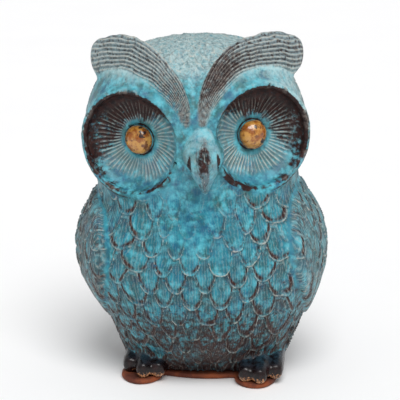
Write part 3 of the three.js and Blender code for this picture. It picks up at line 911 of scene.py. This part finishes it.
def bead_material():
    """Glossy amber glaze over cream clay, with dark brown specks and a dark edge where it meets the dish."""
    n = Nodes("amber_bead")
    cloud = n.noise(5.0, 4, 0.6)
    speck = n.noise(4.2, 4, 0.55)
    colour = n.mix(n.ramp(cloud, 0.42, 0.6), srgb(200, 144, 66), srgb(146, 78, 6))
    colour = n.mix(n.ramp(n.noise(2.6, 3), 0.54, 0.66), colour, srgb(118, 66, 22))
    colour = n.mix(n.ramp(speck, 0.59, 0.62), colour, srgb(46, 20, 14))
    colour = n.mix(n.attribute("burnt"), colour, srgb(24, 14, 10))
    n.bump([(n.noise(1.5, 3), 0.3), (cloud, 0.5)], 0.4)
    n.shader.inputs["Coat Weight"].default_value = 0.6
    n.shader.inputs["Coat Roughness"].default_value = 0.04
    return n.finish(colour, n.math("ADD", 0.18, n.math("MULTIPLY", speck, 0.2)))


def floor_material():
    """Near-white paper."""
    n = Nodes("pale_floor")
    shade = n.noise(120, 2)
    n.bump([(n.noise(4, 2), 0.02)], 0.2)
    return n.finish(n.mix(shade, srgb(246, 246, 247), srgb(250, 250, 250)), 0.7)


# ---- the glazed surface and its pieces

# Clay pieces that share one kind of relief.
GROUPS = {
    "body": BODY,
    "tail": ("tail",),
    "beak": ("beak",),
    **{f"wing_{side}": (f"wing_{side}",) for side in SIDES},
    **{f"brow_tuft_{side}": (f"brow_tuft_{side}",) for side in SIDES},
    **{f"facial_disc_{side}": (f"facial_disc_{side}",) for side in SIDES},
    **{f"toes_{side}": tuple(f"toe_{side}_{place}" for place in TOES) for side in SIDES},
}

# What the glaze does at each point, from 0 to 1, apart from comb and inset, which carry lines. hollow and
# burnt also carry painted shadow, and pale also carries painted light.
MASKS = (
    "thin", "crest", "hollow", "burnt", "pool", "thick", "runs", "worn", "comb", "inset", "strands", "pale",
)

# Relief fades out toward a neighbouring group over this difference in distance in mm.
RELIEF_FADE = (0.3, 1.9)


def claim_cups(points, distances, names):
    """Counts the inside of each facial disc's cup as that disc's; distances has a column for each name."""
    for side, sign in SIDES.items():
        radius, depth, _ = disc_polar(points, sign)
        cup = np.maximum(radius - DISC_RADIUS - 0.6, np.abs(depth - 5) - 8)
        column = names.index(f"facial_disc_{side}")
        distances[:, column] = np.minimum(distances[:, column], cup)


def glazed_surface():
    """The relief-bearing outer surface with its masks, and each quad's CAD node."""
    names = [name for members in GROUPS.values() for name in members]
    fields = {name: node_field(name) for name in names}
    points, quads = surface(owl_field(fields))
    near = {name: sample(fields[name], points) for name in names}
    base = even_out(vertex_normals(points, quads), quads, 2)
    base /= np.maximum(np.linalg.norm(base, axis=1), 1e-9)[:, None]

    reach = np.stack([np.min([near[name] for name in members], 0) for members in GROUPS.values()], 1)
    claim_cups(points, reach, list(GROUPS))
    order = np.sort(reach, axis=1)
    fade = smoothstep(*RELIEF_FADE, order[:, 1] - order[:, 0])
    group = np.argmin(reach, 1)

    height = np.zeros(len(points))
    masks = {key: np.zeros(len(points)) for key in MASKS}
    masks["inset"] += ON_RIM
    for index, key in enumerate(GROUPS):
        mine = np.flatnonzero(group == index)
        add_relief(key, mine, points, fade, height, masks)
    shared_masks(points, masks, fade)

    lines = {key: masks.pop(key) for key in UNBLENDED}
    displaced = points + base * (height + 0.12 * noise(points, 5, 71) + 0.25 * noise(points, 18, 72))[:, None]
    displaced[:, 2] = np.maximum(displaced[:, 2], figure_floor(displaced[:, 1]))
    shading = vertex_normals(displaced, quads)
    masks = {key: even_out(np.clip(values, 0, 1), quads, 1) for key, values in masks.items()}
    masks.update(lines)

    centres = points[quads].mean(1)
    owners = np.stack([sample(fields[name], centres) for name in names], 1)
    claim_cups(centres, owners, names)
    return displaced, quads, shading, base, masks, np.array(names)[np.argmin(owners, 1)]


def add_relief(key, mine, points, fade, height, masks):
    """Writes one group's relief and masks into the whole surface's arrays."""
    here, soft = points[mine], fade[mine]
    if key == "body":
        relief, made = body_relief(here)
    elif key.startswith("wing"):
        relief, made = wing_relief(here)
        masks["thin"][mine] -= 0.05
        made["hollow"] *= 0.75
    elif key == "tail":
        relief, made = tail_relief(here)
        masks["thin"][mine] += 0.5
    elif key.startswith("facial_disc"):
        relief, made = disc_relief(here, SIDES[key.rsplit("_", 1)[1]])
        masks["thin"][mine] -= 0.25
        soft = 1.0
    elif key.startswith("brow_tuft"):
        relief, made = tuft_relief(here, key.rsplit("_", 1)[1])
        masks["thin"][mine] += 0.2
    elif key.startswith("toes"):
        masks["runs"][mine] += 0.6 * smoothstep(9, 15, here[:, 2])
        masks["worn"][mine] += 0.75 * smoothstep(10, 4, here[:, 2]) * smoothstep(-20, -27, here[:, 1])
        return
    else:
        beak_masks(here, mine, masks, height)
        return
    height[mine] += relief * soft
    for name, values in made.items():
        if name in UNBLENDED:
            masks[name][mine] = values
        else:
            masks[name][mine] += values * soft


def beak_masks(here, mine, masks, height):
    """A worn brown oval down the ridge of the beak and a slit nostril on each side."""
    x, y, z = to_head(here).T
    aside = x - BEAK_MIDDLE_X
    mottle = 0.22 * noise(here, 2.6, 83)
    oval = np.hypot(aside / 3.9, (z - 124.5) / 7.8) + mottle
    ridge = np.hypot(aside / 2.8, (z - 112) / 8.5) + mottle
    in_front = smoothstep(-48, -52, y)
    masks["burnt"][mine] += 0.6 * smoothstep(1.25, 0.6, oval) * in_front
    masks["thin"][mine] += (0.6 * smoothstep(1.4, 0.9, oval) + 0.9 * smoothstep(1.2, 0.7, ridge)) * in_front
    masks["thin"][mine] -= 0.2
    masks["pale"][mine] += 0.22 + 0.1 * smoothstep(126, 133, z)
    slit = np.hypot((np.abs(aside) - 7.8 + 0.015 * (z - 120) ** 2) / 0.9, (z - 120) / 6.5)
    masks["burnt"][mine] += 0.95 * smoothstep(1.3, 0.8, slit)
    height[mine] -= 0.9 * smoothstep(1.5, 0.5, slit)


def shared_masks(points, masks, fade):
    """How the glaze lies over the whole figure: thick on the chest, thin on the sides, browner and darker low
    down, partly burnt glaze and partly painted shade on the underside, and pale on the crown, partly a paler
    glaze and partly painted light from above."""
    x, y, z = to_figure(points).T
    # low marks the lower body, which is made browner and darker: partly the glaze burnt brown, partly painted
    # shade on the underside.
    low = smoothstep(55, 6, z)
    flank = smoothstep(30, 58, np.abs(x - 1)) * smoothstep(118, 95, z)
    chest = bell(x, 2, 22) * smoothstep(52, 80, z) * smoothstep(118, 105, z) * (y < 0)
    crown = smoothstep(160, 175, z) * 0.1
    sides = smoothstep(40, 62, np.abs(x))
    pale_lit_left_temple = smoothstep(34, 48, x) * smoothstep(122, 146, z)
    patchy = noise(points, 10, 95)
    on_head = smoothstep(100, 106, z)
    masks["thin"] += 0.1 * low + 0.26 * flank + 0.25 + crown - 0.6 * chest
    masks["thin"] += 0.35 * patchy * np.maximum(low, flank)
    masks["thin"] -= 0.5 * (1 - fade) * smoothstep(40, 60, z)
    masks["hollow"] *= 0.75 + 0.5 * low + 0.3 * flank
    masks["strands"] *= (0.5 + 0.3 * flank) * (1 - on_head) + on_head
    masks["pool"] += 0.55 * chest + 0.5 * (1 - fade) * smoothstep(112, 100, z)
    # Paler from the shoulders up and palest on the crown: partly a paler glaze, partly painted light from
    # above.
    masks["pale"] += 0.1 * smoothstep(95, 118, z) + smoothstep(157, 170, z)
    # The owl's left temple is paler: partly a paler glaze, partly painted light on the side the sun falls on.
    # The flanks' glaze is paler too.
    masks["pale"] += 0.55 * pale_lit_left_temple + 0.2 * sides
    # Browner toward the bottom: partly burnt glaze, partly painted shade on the underside.
    masks["burnt"] += 0.5 * smoothstep(85, 20, z) + 0.12 * patchy * low
    masks["crest"] *= 1 - 0.45 * low


# Thickness in mm of the closed pieces that the glaze is shared out into.
PIECE_WALL = 1.2


def build_pieces(glaze, toe_glaze):
    """One closed piece for each CAD node that the glaze covers."""
    points, quads, shading, base, masks, owners = glazed_surface()
    for name in sorted(set(owners)):
        material = toe_glaze if name.startswith("toe_") else glaze
        piece = closed_patch(
            f"{name}_glazed", points, quads, shading, -base, owners == name, masks, PIECE_WALL, material)
        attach(piece, "root")
        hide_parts(name)


# An eye bead has a finer grid of its own. Its glaze stands this far proud and darkens between two radii.
BEAD_VOXEL = 0.6 * VOXEL
BEAD_BAND = 12
BEAD_PAD = 4
BEAD_GLAZE = 0.75
BEAD_EDGE = (7.5, 8.1)


def build_bead(name, seed, material):
    """An eye bead as an uneven pebble of glaze round its CAD dome."""
    points, triangles = node_triangles(name)
    low = np.floor(points.min(0) / BEAD_VOXEL).astype(int) - BEAD_PAD
    shape = tuple(np.ceil(points.max(0) / BEAD_VOXEL).astype(int) + BEAD_PAD - low)
    transform = openvdb.createLinearTransform(voxelSize=BEAD_VOXEL)
    grid = openvdb.FloatGrid.createLevelSetFromPolygons(
        points, triangles=triangles, transform=transform, halfWidth=float(BEAD_BAND))
    field = np.full(shape, BEAD_BAND * BEAD_VOXEL, np.float32)
    grid.copyToArray(field, ijk=tuple(int(v) for v in low))
    rounded = np.clip(soften(field / BEAD_VOXEL, VOXEL * 1.5), -BAND, BAND)
    back = openvdb.FloatGrid(background=float(BAND))
    back.copyFromArray(rounded, ijk=(0, 0, 0), tolerance=0.0)
    skin, quads = back.convertToQuads(isovalue=0.0)
    skin = (skin + low) * BEAD_VOXEL
    quads = quads.astype(np.int64)
    normals = vertex_normals(skin, quads)
    lumps = 0.35 * noise(skin, 4.5, seed) + 0.1 * noise(skin, 1.6, seed + 1)
    skin = skin + normals * (BEAD_GLAZE + lumps)[:, None]
    radius, _, _ = disc_polar(skin, SIDES[name.rsplit("_", 1)[1]])
    edge = {"burnt": smoothstep(*BEAD_EDGE, radius)}
    piece = make_mesh(f"{name}_glazed", skin, quads, edge, None, [material])
    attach(piece, "root")
    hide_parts(name)


def build_slab(material):
    """The base slab with a hand-cut, slightly rounded edge and a flat underside."""
    points, triangles = node_triangles("base_slab")
    rounded = soften(grid_field(points, triangles=triangles), SLAB_BLUR)
    skin, quads = surface(np.maximum(rounded, -grid_places(2).astype(np.float32)))
    normals = vertex_normals(skin, quads)
    edge = smoothstep(0.2, 1.2, skin[:, 2])
    skin = skin + normals * (edge * (0.35 * noise(skin, 9, 91) + 0.15 * noise(skin, 3, 92)))[:, None]
    skin[:, 2] = np.clip(skin[:, 2], 0, FIGURE_FLOOR)
    burnt = smoothstep(2.2, 4.2, skin[:, 2] + 0.7 * noise(skin, 4, 93))
    piece = make_mesh("base_slab_clay", skin, quads, {"burnt": burnt}, None, [material])
    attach(piece, "root")
    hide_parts("base_slab")


# ---- camera, floor and light

CAMERA_AZIMUTH = math.radians(6)
CAMERA_ELEVATION = math.radians(15)
CAMERA_DISTANCE = 0.9
CAMERA_AIM = (-0.001, 0.0032, 0.09)
FRAME_WIDTH = 0.2092
SENSOR = 36.0
WORLD_STRENGTH = 0.5
SUN_ENERGY = 2.25
SUN_ANGLE = math.radians(35)
SUN_TILT = math.radians(32)
SUN_AZIMUTH = math.radians(18)
FLOOR_SIZE = 40


def place_camera():
    """A long lens a little above the owl and to its left, as wide at the owl as FRAME_WIDTH."""
    data = bpy.data.cameras.new("camera")
    data.sensor_width = SENSOR
    data.lens = SENSOR * CAMERA_DISTANCE / FRAME_WIDTH
    data.clip_start, data.clip_end = 0.01, 20
    camera = bpy.data.objects.new("camera", data)
    bpy.context.scene.collection.objects.link(camera)
    flat = math.cos(CAMERA_ELEVATION) * CAMERA_DISTANCE
    camera.location = (
        CAMERA_AIM[0] + math.sin(CAMERA_AZIMUTH) * flat,
        CAMERA_AIM[1] - math.cos(CAMERA_AZIMUTH) * flat,
        CAMERA_AIM[2] + math.sin(CAMERA_ELEVATION) * CAMERA_DISTANCE,
    )
    camera.rotation_euler = (math.pi / 2 - CAMERA_ELEVATION, 0, CAMERA_AZIMUTH)
    bpy.context.scene.camera = camera


def build_studio():
    """A pale floor, an even white world and one soft sun."""
    bpy.ops.mesh.primitive_plane_add(size=FLOOR_SIZE)
    floor = bpy.context.object
    floor.name = "floor"
    floor.data.materials.append(floor_material())
    world = bpy.data.worlds.new("studio")
    world.use_nodes = True
    world.node_tree.nodes["Background"].inputs["Color"].default_value = (1, 1, 1, 1)
    world.node_tree.nodes["Background"].inputs["Strength"].default_value = WORLD_STRENGTH
    bpy.context.scene.world = world
    bpy.context.scene.view_settings.view_transform = "Standard"
    sun = bpy.data.lights.new("key", "SUN")
    sun.energy = SUN_ENERGY
    sun.angle = SUN_ANGLE
    key = bpy.data.objects.new("key", sun)
    key.rotation_euler = (SUN_TILT, 0, SUN_AZIMUTH)
    bpy.context.scene.collection.objects.link(key)


place_camera()
build_studio()
glaze = glaze_material()
amber = bead_material()
build_pieces(glaze, toe_material())
build_slab(clay_material())
for number, side in enumerate(SIDES):
    build_bead(f"eye_bead_{side}", 101 + 10 * number, amber)
